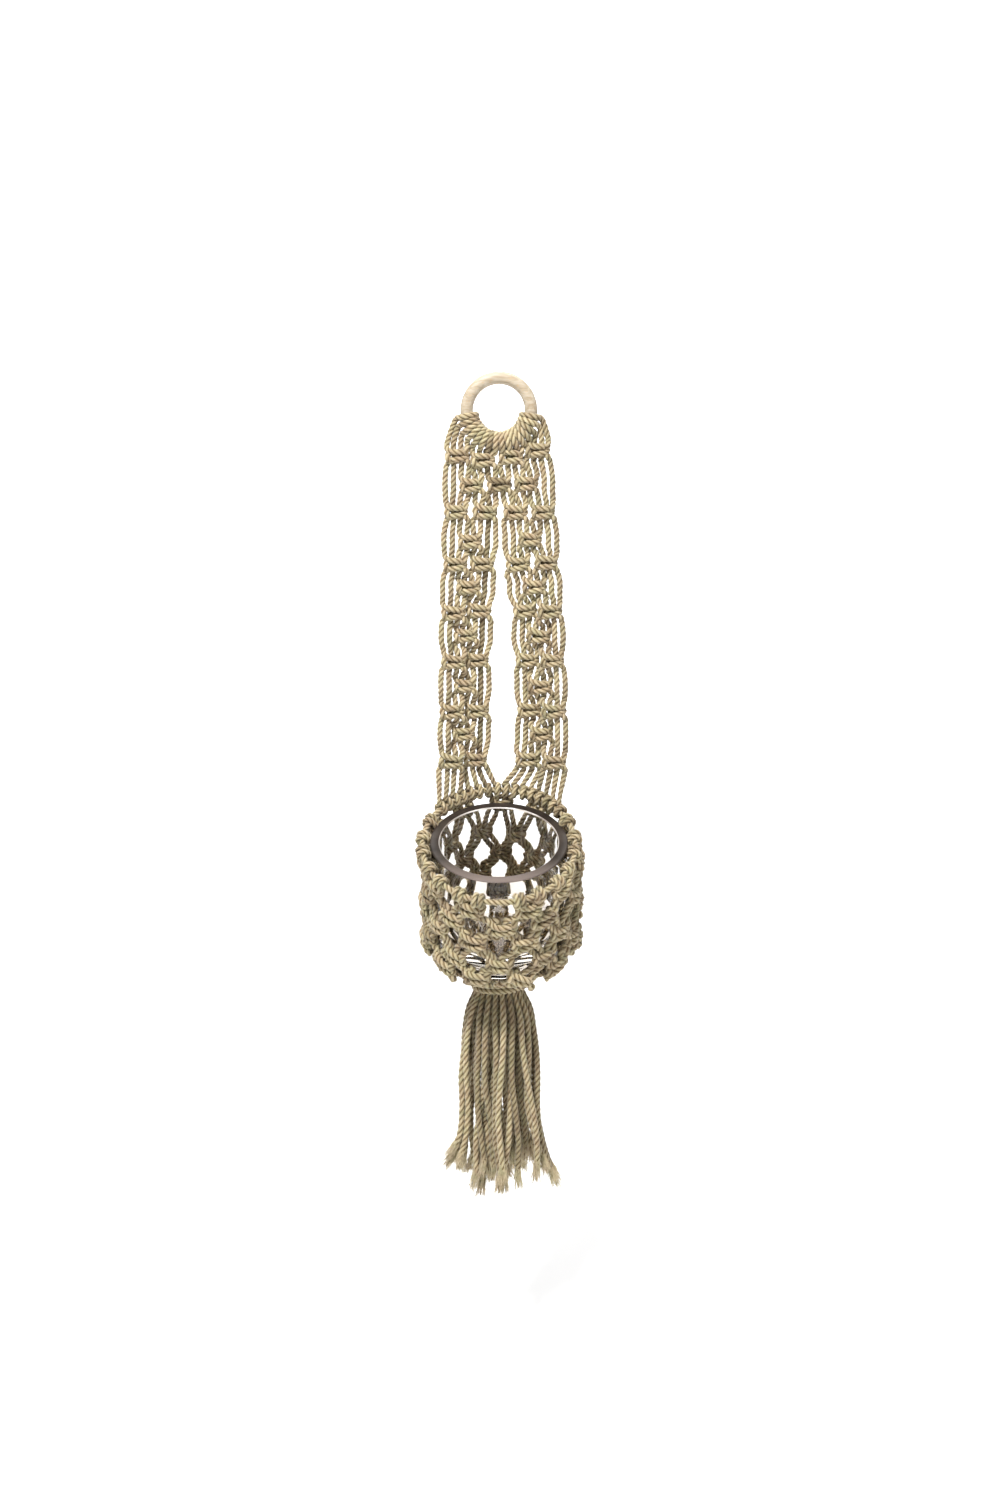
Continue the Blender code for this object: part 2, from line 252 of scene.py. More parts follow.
class Builder:
    """Collects swept rings and makes one mesh of them."""

    def __init__(self):
        self.verts, self.faces, self.uvs, self.tones, self.count = [], [], [], [], 0

    def add(self, rings, along, tone, plies=True):
        """A closed tube of quads, with its ends filled by strips. Without plies it gets no painted groove
        shade.
        """
        turns, sides = rings.shape[:2]
        base = self.count + np.arange(turns * sides).reshape(turns, sides)
        ahead = np.roll(base, -1, axis=1)
        quads = np.stack([base[:-1], ahead[:-1], ahead[1:], base[1:]], axis=-1).reshape(-1, 4)
        left = np.arange(sides) / sides
        right = left + 1 / sides
        v0 = np.repeat(along[:-1, None], sides, axis=1)
        v1 = np.repeat(along[1:, None], sides, axis=1)
        u0 = np.repeat(left[None, :], turns - 1, axis=0) * plies
        u1 = np.repeat(right[None, :], turns - 1, axis=0) * plies
        uv = np.stack(
            [np.stack([u0, v0], -1), np.stack([u1, v0], -1), np.stack([u1, v1], -1), np.stack([u0, v1], -1)],
            axis=2,
        ).reshape(-1, 2)
        caps, cap_uv = [], []
        for ring, place, flip in ((base[0], along[0], True), (base[-1], along[-1], False)):
            for low in range(sides // 2 - 1):
                quad = [ring[low], ring[low + 1], ring[sides - 2 - low], ring[(sides - 1 - low) % sides]]
                caps.append(quad[::-1] if flip else quad)
                cap_uv += [(0.0, place)] * 4
        self.verts.append(rings.reshape(-1, 3))
        self.faces += [quads, np.array(caps)]
        self.uvs += [uv, np.array(cap_uv)]
        self.tones.append(np.full(turns * sides, tone))
        self.count += turns * sides

    def fibre(self, points, radius, tone):
        """A hair: a thin tube of four sides that tapers to its tip."""
        points = np.asarray(points)
        _, normal, side = frames(points)
        angle = np.arange(4) * math.pi / 2
        reach = radius * np.linspace(1.0, 0.45, len(points))[:, None, None]
        across = np.cos(angle)[None, :, None] * normal[:, None]
        around = across + np.sin(angle)[None, :, None] * side[:, None]
        self.add(points[:, None] + reach * around, lengths(points), tone, plies=False)

    def piece(self, name, material, body=None):
        """The mesh object of all that was added. It rides on the body, if one is given."""
        data = bpy.data.meshes.new(name)
        verts = np.vstack(self.verts)
        faces = np.vstack(self.faces)
        data.vertices.add(len(verts))
        data.vertices.foreach_set("co", verts.astype(np.float32).ravel())
        data.loops.add(faces.size)
        data.loops.foreach_set("vertex_index", faces.astype(np.int32).ravel())
        data.polygons.add(len(faces))
        data.polygons.foreach_set("loop_start", np.arange(0, faces.size, 4, dtype=np.int32))
        data.update(calc_edges=True)
        data.polygons.foreach_set("use_smooth", np.ones(len(faces), bool))
        layer = data.uv_layers.new(name="Cord")
        layer.data.foreach_set("uv", np.vstack(self.uvs).astype(np.float32).ravel())
        tone = data.attributes.new("tone", "FLOAT", "POINT")
        tone.data.foreach_set("value", np.concatenate(self.tones).astype(np.float32))
        data.materials.append(material)
        obj = bpy.data.objects.new(name, data)
        bpy.context.scene.collection.objects.link(obj)
        if body:
            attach(obj, body)
        return obj


def hold_near(points, strand, limit):
    """Pulls points in to within a distance of the strand's middle line."""
    gaps = np.linalg.norm(points[:, None] - strand.path[None], axis=2)
    nearest = strand.path[gaps.argmin(axis=1)]
    return nearest + (points - nearest) * np.minimum(1.0, limit / gaps.min(axis=1))[:, None]


def fuzz(builder, strand, first, last, spacing=HAIR_SPACING, longest=HAIR_LENGTH):
    """Stray hairs that stand out of a stretch of cord."""
    tangent, normal, side = strand.axes
    span = strand.along[last] - strand.along[first]
    for _ in range(int(span / spacing)):
        index = int(RANDOM.integers(first, last))
        turn = RANDOM.uniform(0, 2 * math.pi)
        out = math.cos(turn) * normal[index] + math.sin(turn) * side[index]
        lean = tangent[index] * RANDOM.uniform(-1.0, 1.0) + RANDOM.normal(0, 0.25, 3)
        reach = RANDOM.uniform(0.35, 1.0) * longest
        start = strand.path[index] + out * strand.diameter * 0.42
        steps = np.linspace(0.0, 1.0, 4)[:, None]
        points = start + reach * (out * (0.5 * steps) + lean * (0.7 * steps + 0.25 * steps**2))
        builder.fibre(hold_near(points, strand, FIBRE_REACH), HAIR_RADIUS, RANDOM.uniform(0.3, 1.0))


# Places


def on_basket(azimuth, radius, height):
    """A point on the basket at rest, from its azimuth in degrees, radius and height along the glass."""
    return BASE + radius * outward(azimuth) + height * ALONG


def outward(azimuth):
    """The direction away from the glass's axis."""
    turn = math.radians(azimuth)
    return math.sin(turn) * ACROSS + math.cos(turn) * BACK


def rim_height(azimuth):
    """How high on the glass the rim cord lies. It is highest at the back."""
    return RIM_HEIGHT + RIM_LEAN * math.cos(math.radians(azimuth))


def on_rim(azimuth, turn, reach):
    """A point round the rim cord. Turn 0 is outside and 90 on top."""
    middle = on_basket(azimuth, RIM_RADIUS, rim_height(azimuth))
    angle = math.radians(turn)
    return middle + reach * (math.cos(angle) * outward(azimuth) + math.sin(angle) * ALONG)


def on_ring(azimuth, turn, reach):
    """A point round the ring's tube. Azimuth is from the ring's bottom; turn 0 is in front, 90 inside."""
    angle, turn = math.radians(azimuth), math.radians(turn)
    out = np.array([math.sin(angle), 0.0, -math.cos(angle)])
    front = np.array([0.0, -1.0, 0.0])
    return RING_CENTRE + out * (RING_RADIUS - reach * math.sin(turn)) + front * reach * math.cos(turn)


def strap_azimuth(strand):
    """Where on the rim a strap's strand is hitched."""
    return (strand - (STRANDS - 1) / 2) * HITCH_PITCH + HITCH_SHIFT


# Strap cords, from the ring to the rim


def side_of(pair):
    """A pair's place counted outwards from the middle, and 1 on the right or -1 on the left."""
    half = STRAP_PAIRS // 2
    return (pair - half, 1.0) if pair >= half else (half - 1 - pair, -1.0)


def knot_column(row, side):
    """How far from the middle, in millimetres, a strap's cord runs at a row. Side 0 is the innermost."""
    above = row // 2
    if row % 2 == 0:
        return INNER_KNOTS[above] if side < 2 else OUTER_KNOTS[above]
    inner = (INNER_KNOTS[above] + INNER_KNOTS[above + 1]) / 2
    outer = (OUTER_KNOTS[above] + OUTER_KNOTS[above + 1]) / 2
    if side == 0:
        return 0.0 if row == 1 else inner - EDGE_GAP
    if side == 3:
        return outer + EDGE_GAP
    return PANEL_KNOT if row == 1 else (inner + outer) / 2


def in_knot(row, pair):
    """Whether a pair is the left or the right half of a knot in this row, or neither."""
    if row % 2 == 0:
        return "right" if pair % 2 else "left"
    knotted = {1: "left", 2: "right", 5: "left", 6: "right"}
    if row == 1:
        knotted |= {3: "left", 4: "right"}
    return knotted.get(pair)


def strap_lean(pair):
    """How far back a cord has run for each metre below the ring."""
    hitch = on_rim(strap_azimuth(2 * pair + 0.5), 90.0, 0.0)
    return hitch[1] / (STRAPS_TOP_Z - hitch[2])


JITTER = {(row, knot): RANDOM.normal(0, 1, 4) for row in range(len(ROWS)) for knot in range(-1, 5)}


def drift(row):
    """How far the straps have drifted to the right at a row, in millimetres."""
    return float(np.interp(row / 2, range(len(SIDE_DRIFT)), SIDE_DRIFT))


def strap_knot(row, pair):
    """Places the knot that this pair is in, as a function from knot units to the planter."""
    first = pair if in_knot(row, pair) == "left" else pair - 1
    side, sign = side_of(first)
    centre_x = 0.0 if row == 1 and first == 3 else sign * knot_column(row, side)
    jitter = JITTER[(row, first // 2)]
    lean = (strap_lean(first) + strap_lean(first + 1)) / 2
    rise = TOP_ROW_RISE[first // 2] if row == 0 else 0.5 * jitter[0]
    z = (ROWS[row] + rise) * MM
    x = (centre_x + drift(row) + 0.35 * jitter[1]) * MM
    turn = 0.05 * jitter[2]
    size = 1.0 + 0.03 * jitter[3]

    def place(across, up, ahead):
        u = (across * math.cos(turn) - up * math.sin(turn)) * size * KNOT_ACROSS
        v = (across * math.sin(turn) + up * math.cos(turn)) * size * KNOT_UP
        return np.array([x + u, (STRAPS_TOP_Z - z - v) * lean - ahead * KNOT_AHEAD, z + v])

    return place


def strap_strand(index):
    """The route of one of the sixteen strands, and the numbers of the points where pieces part."""
    pair, second = divmod(index, 2)
    azimuth = (index - (STRANDS - 1) / 2) * HEAD_ARC / STRANDS
    middle = (2 * pair + 0.5 - (STRANDS - 1) / 2) * HEAD_ARC / STRANDS
    points = [on_ring(middle, 214.0, 8.4 * MM), on_ring(azimuth * 0.7 + middle * 0.3, 203.0, 8.0 * MM)]
    points += [on_ring(azimuth, turn, 6.6 * MM) for turn in (178, 140, 100, 60, 20, -20, -52)]
    points.append(on_ring(azimuth, -84.0, 7.8 * MM))
    parts = []
    last_row = len(ROWS) - 1
    for row in range(last_row + 1):
        half = in_knot(row, pair)
        if half:
            place = strap_knot(row, pair)
            if half == "left":
                shape = KNOT_FILLERS[0] if second else KNOT_LEFT
            else:
                shape = KNOT_RIGHT if second else KNOT_FILLERS[1]
            points += unevenly([place(*point) for point in shape], 0.5 * UNEVEN)
        else:
            side, sign = side_of(pair)
            x = sign * knot_column(row, side) + drift(row) + (EDGE_SPREAD if second else -EDGE_SPREAD)
            for up in (4.5, -4.5):
                z = (ROWS[row] + up) * MM
                points.append(np.array([x * MM, (STRAPS_TOP_Z - z) * strap_lean(pair), z]))
        if row in (0, last_row):
            parts.append(len(points) - 1)
    hitch = strap_azimuth(index)
    shift = math.degrees(HITCH_HALF_WIDTH / RIM_RADIUS)
    parts.append(len(points))
    turns = (75, 25, -30, -85, -140, -200, -255, -310, -365, -415)
    for aside, turn in zip(np.linspace(-shift, shift, len(turns)), turns):
        points.append(on_rim(hitch + aside, turn, HITCH_REACH))
    return points, parts


# Net cords, from the rim to the gathering cord


def pair_knot(row, pair):
    """The knot a pair is in at a net row, and whether it is on the knot's higher-azimuth side."""
    return divmod(pair - 3, 2) if row % 2 == 0 else divmod(pair - 4, 2)


def knot_azimuth(row, knot):
    """Where round the glass a knot is. The rows become evenly spaced as they go down."""
    even = 360.0 / KNOTS_ROUND
    first = FIRST_ROW_KNOTS + [360.0 - azimuth for azimuth in FIRST_ROW_KNOTS[:0:-1]]
    ease = min(1.0, row / (BASE_ROW - 1))

    def of_first(number):
        lap, place = divmod(number, KNOTS_ROUND)
        return 360.0 * lap + first[place]

    if row % 2 == 0:
        return of_first(knot) * (1.0 - ease) + even * knot * ease
    between = (of_first(knot) + of_first(knot + 1)) / 2
    return between * (1.0 - ease) + even * (knot + 0.5) * ease


NET_JITTER = RANDOM.normal(0, 1, (BASE_ROW + 1, KNOTS_ROUND, 3))


def net_knot(row, knot):
    """Places a knot on the side of the glass. Seen from outside, azimuth grows to the left."""
    jitter = NET_JITTER[row, knot % KNOTS_ROUND]
    azimuth = knot_azimuth(row, knot) + 0.9 * jitter[0]
    height, lean = NET_ROWS[row]
    astray = (0.9 if row else 0.4) * jitter[1]
    middle = (height + lean * math.cos(math.radians(azimuth)) + astray) * MM
    front = max(0.0, -math.cos(math.radians(azimuth)))
    size = 1.06 + 0.14 * front + 0.04 * jitter[1]
    slope = (0.06 + 0.16 * front) * jitter[2]
    if row == 0:
        slope -= RIM_LEAN / RIM_RADIUS * math.sin(math.radians(azimuth))

    def place(across, up, ahead):
        along = across * KNOT_ACROSS * size
        rise = up * KNOT_UP * min(1.06, size) - along * slope
        side = azimuth - math.degrees(along / NET_RADIUS)
        bulge = RIGHT_BULGE * max(0.0, math.sin(math.radians(side))) ** 2
        return on_basket(side, NET_RADIUS + bulge + ahead * KNOT_AHEAD * NET_DEPTH, middle + rise)

    return place


def base_knot(knot):
    """Places a knot of the last row, on the cords that run in under the glass."""
    azimuth = knot_azimuth(BASE_ROW, knot)
    turn = math.radians(azimuth)
    bulge = RIGHT_BULGE * max(0.0, math.sin(turn))
    edge = on_basket(azimuth, 46.0 * MM + bulge, -4.2 * MM)
    inner = GATHER + 16.5 * MM * np.array([math.sin(turn), math.cos(turn), 0.0]) + (0.0, 0.0, 7.5 * MM)
    up = (edge - inner) / np.linalg.norm(edge - inner)
    side = np.array([-math.cos(turn), math.sin(turn), 0.0])
    ahead_axis = np.cross(side, up)
    ahead_axis *= -np.sign(ahead_axis[2])
    middle = edge + (inner - edge) * 0.54

    def place(across, rise, ahead):
        narrow = 0.86 + 0.1 * rise
        wide = across * narrow * KNOT_ACROSS
        return middle + wide * side + rise * KNOT_UP * 0.9 * up + ahead * KNOT_AHEAD * 0.7 * ahead_axis

    return place


def net_route(pair, second):
    """A strand's way down the net into the gathering cord, and where it turns in under the glass."""
    points = []
    for row in range(BASE_ROW + 1):
        knot, higher = pair_knot(row, pair)
        place = net_knot(row, knot) if row < BASE_ROW else base_knot(knot)
        if higher:
            shape = KNOT_LEFT if second else KNOT_FILLERS[0]
        else:
            shape = KNOT_FILLERS[1] if second else KNOT_RIGHT
        points += unevenly([place(*point) for point in shape], UNEVEN)
        if row == BASE_ROW - 1:
            azimuth = knot_azimuth(row, knot) + (4.0 if higher else -4.0) + (2.2 if second else -2.2)
            points.append(on_basket(azimuth, 53.4 * MM, -0.6 * MM))
            turn_in = len(points)
            points.append(on_basket(azimuth, 49.5 * MM, -3.2 * MM))
    reach, turn = gather_slot(pair, second)
    for rise in (9.0, 1.0):
        points.append(GATHER + (reach * math.sin(turn), reach * math.cos(turn), rise * MM))
    return points, turn_in


def gather_slot(pair, second):
    """Where a strand passes through the gathering cord: its distance from the axis, and its direction."""
    knot, higher = pair_knot(BASE_ROW, pair)
    place = 2 + second if higher else second
    reach = [14.6, 10.0, 5.6, 14.6][place] * MM
    offset = [-8.2, 0.0, 3.0, 8.2][place]
    return reach, math.radians(knot_azimuth(BASE_ROW, knot) + offset)


def head_route(azimuth, second):
    """Half of a lark's head on the rim cord, from the middle of its bight."""
    shift = math.degrees(HEAD_HALF_WIDTH / RIM_RADIUS) * (1.0 if second else -1.0)
    points = [on_rim(azimuth, 205.0, 5.6 * MM), on_rim(azimuth + shift * 0.8, 190.0, 5.1 * MM)]
    points += [on_rim(azimuth + shift, turn, HEAD_REACH) for turn in (155, 115, 75, 35, -5, -45, -85)]
    return points


# Tassel

# The tassel's levels: depth in millimetres, spread, looseness, and the least distance between strands
TASSEL_LEVELS = [
    (-2.0, 1.0, 0.0, 3.8), (9.0, 1.22, 0.0, 4.2), (22.0, 1.6, 0.6, 4.6), (50.0, 1.82, 1.6, 4.7),
    (72.0, 1.9, 2.3, 4.7), (95.0, 1.96, 3.0, 4.8), (118.0, 2.08, 3.8, 4.9), (140.0, 2.25, 4.6, 5.0),
]


def push_apart(places, least):
    """Moves points of a level apart until none is nearer another than that."""
    for _ in range(60):
        gaps = places[:, None] - places[None, :]
        distance = np.linalg.norm(gaps, axis=2) + np.eye(len(places))
        push = np.clip(least - distance, 0.0, None) * (1.0 - np.eye(len(places)))
        places = places + 0.28 * (gaps / distance[..., None] * push[..., None]).sum(axis=1)
    return places


def tassel_routes():
    """Each strand's points, level by level, so that strands lie beside each other.

    One strand at the front right strays outwards, and three on the left flare towards their ends.
    """
    slots = [gather_slot(pair, second) for pair in range(PAIRS) for second in (0, 1)]
    start = np.array([[reach * math.sin(turn), reach * math.cos(turn)] for reach, turn in slots])
    count = len(start)
    wander = RANDOM.normal(0, 1, (count, 2))
    clump = RANDOM.normal(0, 1, (count, 2))
    drop = TAIL_DROP + RANDOM.uniform(-11.0, 12.0, count)
    routes = [[] for _ in range(count)]
    stray = int(np.argmax(start[:, 0] - 0.5 * start[:, 1]))
    flared = np.argsort(start[:, 0])[:3]
    drop[[stray, *flared]] -= SHORTER
    for depth, spread, loose, least in TASSEL_LEVELS:
        waves = np.sin(depth / 19.0 + 5.0 * wander[:, 0]), np.cos(depth / 23.0 + 5.0 * wander[:, 1])
        astray = 0.6 * wander + clump * min(1.0, depth / 90.0) + 0.7 * np.stack(waves, 1)
        target = start * spread + astray * loose * MM
        loosened = max(0.0, depth - 88.0)
        target[stray] += (0.14 * loosened * MM, 0.0)
        target[flared] -= (0.0035 * loosened**2 * MM, 0.0)
        place = push_apart(target, least * MM)
        for number in range(count):
            z = GATHER[2] - depth * MM
            routes[number].append(np.array([place[number, 0], GATHER[1] + place[number, 1], z]))
    for number in range(count):
        out = place[number] / np.linalg.norm(place[number])
        last = (drop[number] - TASSEL_LEVELS[-1][0]) * MM
        away = out * abs(last) * 0.35 + RANDOM.normal(0, 1.0, 2) * MM
        end = routes[number][-1] + (away[0], away[1], -max(last, 2.0 * MM))
        if last < 0:
            end = routes[number].pop()
            end = end + (0.0, 0.0, -last)
        routes[number].append(end)
    return routes


def tassel_widths(share):
    """A tassel strand's width along it: squeezed in the gathering cord, and thin inside its frayed end."""
    squeeze = np.interp(share, [0.0, 0.1, 0.2, 1.0], [0.82, 0.86, 1.0, 1.0])
    return squeeze * np.interp(share, [0.0, 0.925, 0.955, 1.0], [1.0, 1.0, 0.6, 0.12])


def frayed_end(builder, strand, hairs=72, brush=12.0 * MM):
    """The cut end: the plies open into a brush of hairs."""
    _, normal, side = strand.axes
    total = strand.along[-1]
    for _ in range(hairs):
        start = np.searchsorted(strand.along, total - brush - RANDOM.uniform(0.0, 5.0) * MM)
        turn = RANDOM.uniform(0, 2 * math.pi)
        out = math.cos(turn) * normal[start] + math.sin(turn) * side[start]
        reach = strand.diameter * 0.5 * math.sqrt(RANDOM.uniform(0.1, 1.0))
        flare = RANDOM.uniform(0.1, 1.0) * 2.4 * MM
        length = brush * RANDOM.uniform(0.75, 1.25)
        steps = np.linspace(0.0, 1.0, 5)[:, None]
        ahead = strand.path[-1] - strand.path[start]
        ahead = ahead / np.linalg.norm(ahead)
        curl = RANDOM.normal(0, 0.5, 3) * MM
        points = strand.path[start] + out * (reach + flare * steps**1.6) + ahead * length * steps
        points = points + curl * np.sin(steps * 5.0)
        points = hold_near(points, strand, FIBRE_REACH)
        builder.fibre(points, RANDOM.uniform(0.16, 0.3) * MM, RANDOM.uniform(0.6, 1.0))


# Materials


class Nodes:
    """A material's node tree, with short ways to add and link nodes."""

    def __init__(self, name):
        self.material = bpy.data.materials.new(name)
        self.material.use_nodes = True
        self.tree = self.material.node_tree
        self.shader = self.tree.nodes["Principled BSDF"]

    def add(self, kind, inputs=(), **settings):
        """A node of a kind, with values or links for its inputs."""
        node = self.tree.nodes.new("ShaderNode" + kind)
        for name, value in settings.items():
            setattr(node, name, value)
        for name, value in dict(inputs).items():
            if isinstance(value, bpy.types.NodeSocket):
                self.tree.links.new(value, node.inputs[name])
            else:
                node.inputs[name].default_value = value
        return node

    def shade(self, **inputs):
        """Sets or links the shader's sockets. An underscore stands for a space."""
        for name, value in inputs.items():
            socket = self.shader.inputs[name.replace("_", " ")]
            if isinstance(value, bpy.types.NodeSocket):
                self.tree.links.new(value, socket)
            else:
                socket.default_value = value

    def ramp(self, factor, *stops):
        """A colour from a factor, between stops of (place, colour)."""
        node = self.add("ValToRGB", {"Fac": factor})
        elements = node.color_ramp.elements
        while len(elements) < len(stops):
            elements.new(0.5)
        for element, (place, colour) in zip(elements, stops):
            element.position = place
            element.color = colour
        return node.outputs["Color"]

    def mix(self, factor, first, second, how="MIX"):
        """Two colours mixed by a factor."""
        node = self.add("Mix", data_type="RGBA", blend_type=how)
        for socket, value in ((node.inputs[0], factor), (node.inputs[6], first), (node.inputs[7], second)):
            if isinstance(value, bpy.types.NodeSocket):
                self.tree.links.new(value, socket)
            else:
                socket.default_value = value
        return node.outputs[2]


def srgb(red, green, blue):
    """A colour of the usual 0 to 255 scale, as linear light."""
    shares = (red / 255, green / 255, blue / 255)
    linear = [c / 12.92 if c <= 0.04045 else ((c + 0.055) / 1.055) ** 2.4 for c in shares]
    return (*linear, 1.0)


def cord_material():
    """Natural cord: painted shade in the grooves between plies, fibres along each ply, and strands of uneven
    tone.
    """
    n = Nodes("natural_cord")
    uv = n.add("UVMap", uv_map="Cord").outputs["UV"]
    split = n.add("SeparateXYZ", {0: uv})
    third = n.add("Math", {0: split.outputs["X"], 1: 3.0}, operation="MULTIPLY").outputs[0]
    within = n.add("Math", {0: third}, operation="FRACT").outputs[0]
    centred = n.add("Math", {0: within, 1: 0.5}, operation="SUBTRACT").outputs[0]
    groove = n.add("Math", {0: centred}, operation="ABSOLUTE").outputs[0]
    fibre_space = n.add("Mapping", {"Vector": uv, "Scale": (22.0, 90.0, 1.0)}).outputs["Vector"]
    fibres = n.add("TexNoise", {"Vector": fibre_space, "Scale": 2.0, "Detail": 4.0}).outputs["Fac"]
    where = n.add("TexCoord").outputs["Object"]
    patches = n.add("TexNoise", {"Vector": where, "Scale": 90.0, "Detail": 4.0}).outputs["Fac"]
    tone = n.add("Attribute", attribute_name="tone").outputs["Fac"]
    straw = n.ramp(fibres, (0.28, srgb(96, 82, 58)), (0.5, srgb(188, 174, 144)),
                   (0.72, srgb(250, 238, 210)))
    tint = n.ramp(patches, (0.35, srgb(168, 140, 120)), (0.5, srgb(206, 192, 162)),
                  (0.65, srgb(176, 177, 140)))
    colour = n.mix(0.4, straw, tint)
    toned = n.ramp(tone, (0.0, (0.56, 0.54, 0.48, 1)), (0.5, (0.86, 0.85, 0.81, 1)),
                   (1.0, (1, 0.99, 0.93, 1)))
    colour = n.mix(1.0, colour, toned, "MULTIPLY")
    # Painted shade: the valleys between the plies are darkened, as shade falls there
    shade = n.ramp(groove, (0.0, (0.22, 0.17, 0.12, 1)), (0.12, (0.55, 0.50, 0.42, 1)),
                   (0.26, (0.90, 0.88, 0.85, 1)), (0.44, (1, 1, 1, 1)))
    colour = n.mix(1.0, colour, shade, "MULTIPLY")
    bump = n.add("Bump", {"Height": fibres, "Strength": 0.55, "Distance": 0.0004}).outputs["Normal"]
    n.shade(Base_Color=colour, Normal=bump, Roughness=0.88, Sheen_Weight=0.25, Sheen_Roughness=0.5,
            Specular_IOR_Level=0.25)
    return n.material


def wood_material():
    """Pale turned wood: fine straight grain, soft bands and scattered pores."""
    n = Nodes("ring_wood")
    where = n.add("TexCoord").outputs["Object"]
    stretched = n.add("Mapping", {"Vector": where, "Scale": (30.0, 260.0, 420.0)}).outputs["Vector"]
    grain = n.add("TexNoise", {"Vector": stretched, "Scale": 1.6, "Detail": 6.0,
                               "Distortion": 0.6}).outputs["Fac"]
    bands = n.add("TexWave", {"Vector": where, "Scale": 60.0, "Distortion": 4.0, "Detail": 3.0},
                  bands_direction="Z").outputs["Fac"]
    pores = n.add("TexNoise", {"Vector": stretched, "Scale": 7.0, "Detail": 2.0}).outputs["Fac"]
    colour = n.ramp(grain, (0.3, srgb(154, 138, 115)), (0.55, srgb(181, 170, 151)),
                    (0.8, srgb(197, 189, 174)))
    colour = n.mix(0.12, colour, n.ramp(bands, (0.2, srgb(156, 130, 100)), (0.8, srgb(214, 203, 184))))
    colour = n.mix(n.ramp(pores, (0.3, (1, 1, 1, 1)), (0.38, (0, 0, 0, 1))), colour, srgb(190, 156, 112))
    bump = n.add("Bump", {"Height": grain, "Strength": 0.15, "Distance": 0.0003}).outputs["Normal"]
    n.shade(Base_Color=colour, Normal=bump, Roughness=0.48)
    return n.material


def glass_material():
    """Clear pressed glass, with the faint waves of its surface, and painted reflection of the cords: warmer
    and darker towards the bottom.
    """
    n = Nodes("clear_glass")
    where = n.add("TexCoord").outputs["Object"]
    waves = n.add("TexNoise", {"Vector": where, "Scale": 28.0, "Detail": 1.0}).outputs["Fac"]
    bump = n.add("Bump", {"Height": waves, "Strength": 0.02, "Distance": 0.0004}).outputs["Normal"]
    height = n.add("SeparateXYZ", {0: where}).outputs["Z"]
    # Painted reflection: the colour grows warmer and darker towards the bottom, where the cords show in the
    # thick glass
    tint = n.ramp(n.add("Math", {0: height, 1: 12.0}, operation="MULTIPLY").outputs[0],
                  (0.0, (0.66, 0.61, 0.54, 1)), (0.3, (0.94, 0.90, 0.85, 1)), (0.95, (0.96, 0.95, 0.96, 1)))
    n.shade(Base_Color=tint, Normal=bump, Roughness=0.0, IOR=1.3, Transmission_Weight=1.0)
    return n.material


def lip_material():
    """The lip of the glass in painted reflection: smoky dark where it turns the light aside, and paler in
    front.
    """
    n = Nodes("painted_lip_reflection")
    where = n.add("TexCoord").outputs["Object"]
    cloud = n.add("TexNoise", {"Vector": where, "Scale": 60.0, "Detail": 3.0}).outputs["Fac"]
    # Painted reflection: smoky dark where the lip would bend and mirror dark surroundings, and paler towards
    # the front
    painted_dark_reflection = n.ramp(cloud, (0.3, srgb(40, 34, 30)), (0.7, srgb(68, 60, 54)))
    across = n.add("SeparateXYZ", {0: where}).outputs["Y"]
    forward = n.add("Math", {0: across, 1: -1.0 / GLASS_RADIUS}, operation="MULTIPLY").outputs[0]
    front = n.ramp(forward, (0.45, (0, 0, 0, 1)), (0.95, (0.75, 0.75, 0.75, 1)))
    colour = n.mix(front, painted_dark_reflection, srgb(132, 119, 113))
    n.shade(Base_Color=colour, Roughness=0.35, IOR=1.2)
    return n.material


def edge_material():
    """The polished inner edge of the lip, with a painted highlight: pale glints where light gathers."""
    n = Nodes("bright_edge")
    where = n.add("TexCoord").outputs["Object"]
    glints = n.add("TexNoise", {"Vector": where, "Scale": 45.0, "Detail": 2.0}).outputs["Fac"]
    # Painted highlight: pale glints along the edge
    colour = n.ramp(glints, (0.35, srgb(150, 140, 132)), (0.65, srgb(236, 230, 226)))
    n.shade(Base_Color=colour, Roughness=0.12, IOR=1.5)
    return n.material


# Ring and glass


def turned(name, profile, sides, material, closed=False):
    """A fine turned solid about local Z from its profile of (radius, height)."""
    angle = np.arange(sides) * 2 * math.pi / sides
    around = np.stack([np.cos(angle), np.sin(angle)], axis=1)
    verts = [(r * c, r * s, h) for r, h in profile for c, s in around]
    count = len(profile)
    faces = []
    for row in range(count if closed else count - 1):
        low, high = row * sides, ((row + 1) % count) * sides
        for side in range(sides):
            after = (side + 1) % sides
            faces.append((low + side, high + side, high + after, low + after))
    if not closed:
        faces.append(tuple(range(sides)))
        faces.append(tuple(reversed(range((count - 1) * sides, count * sides))))
    data = bpy.data.meshes.new(name)
    data.from_pydata(verts, [], faces)
    data.shade_smooth()
    data.set_sharp_from_angle(angle=math.radians(50.0))
    data.materials.append(material)
    obj = bpy.data.objects.new(name, data)
    bpy.context.scene.collection.objects.link(obj)
    return obj


def wooden_ring():
    """The ring, turned about an axis that runs from front to back."""
    turns = np.arange(32) * 2 * math.pi / 32
    profile = [(RING_RADIUS + RING_TUBE * math.cos(t), -RING_TUBE * math.sin(t)) for t in turns]
    ring = turned("turned_ring", profile, 120, wood_material(), closed=True)
    ring.location = RING_CENTRE
    ring.rotation_euler = (math.pi / 2, 0.0, 0.0)
    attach(ring, "ring")
    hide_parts("wooden_ring")


def arc(r, h, radius, start, end, steps):
    """Points of a round stretch of a profile, about its middle, between two angles in degrees."""
    turns = np.radians(np.linspace(start, end, steps + 1))
    return [(r + radius * math.cos(t), h + radius * math.sin(t)) for t in turns]


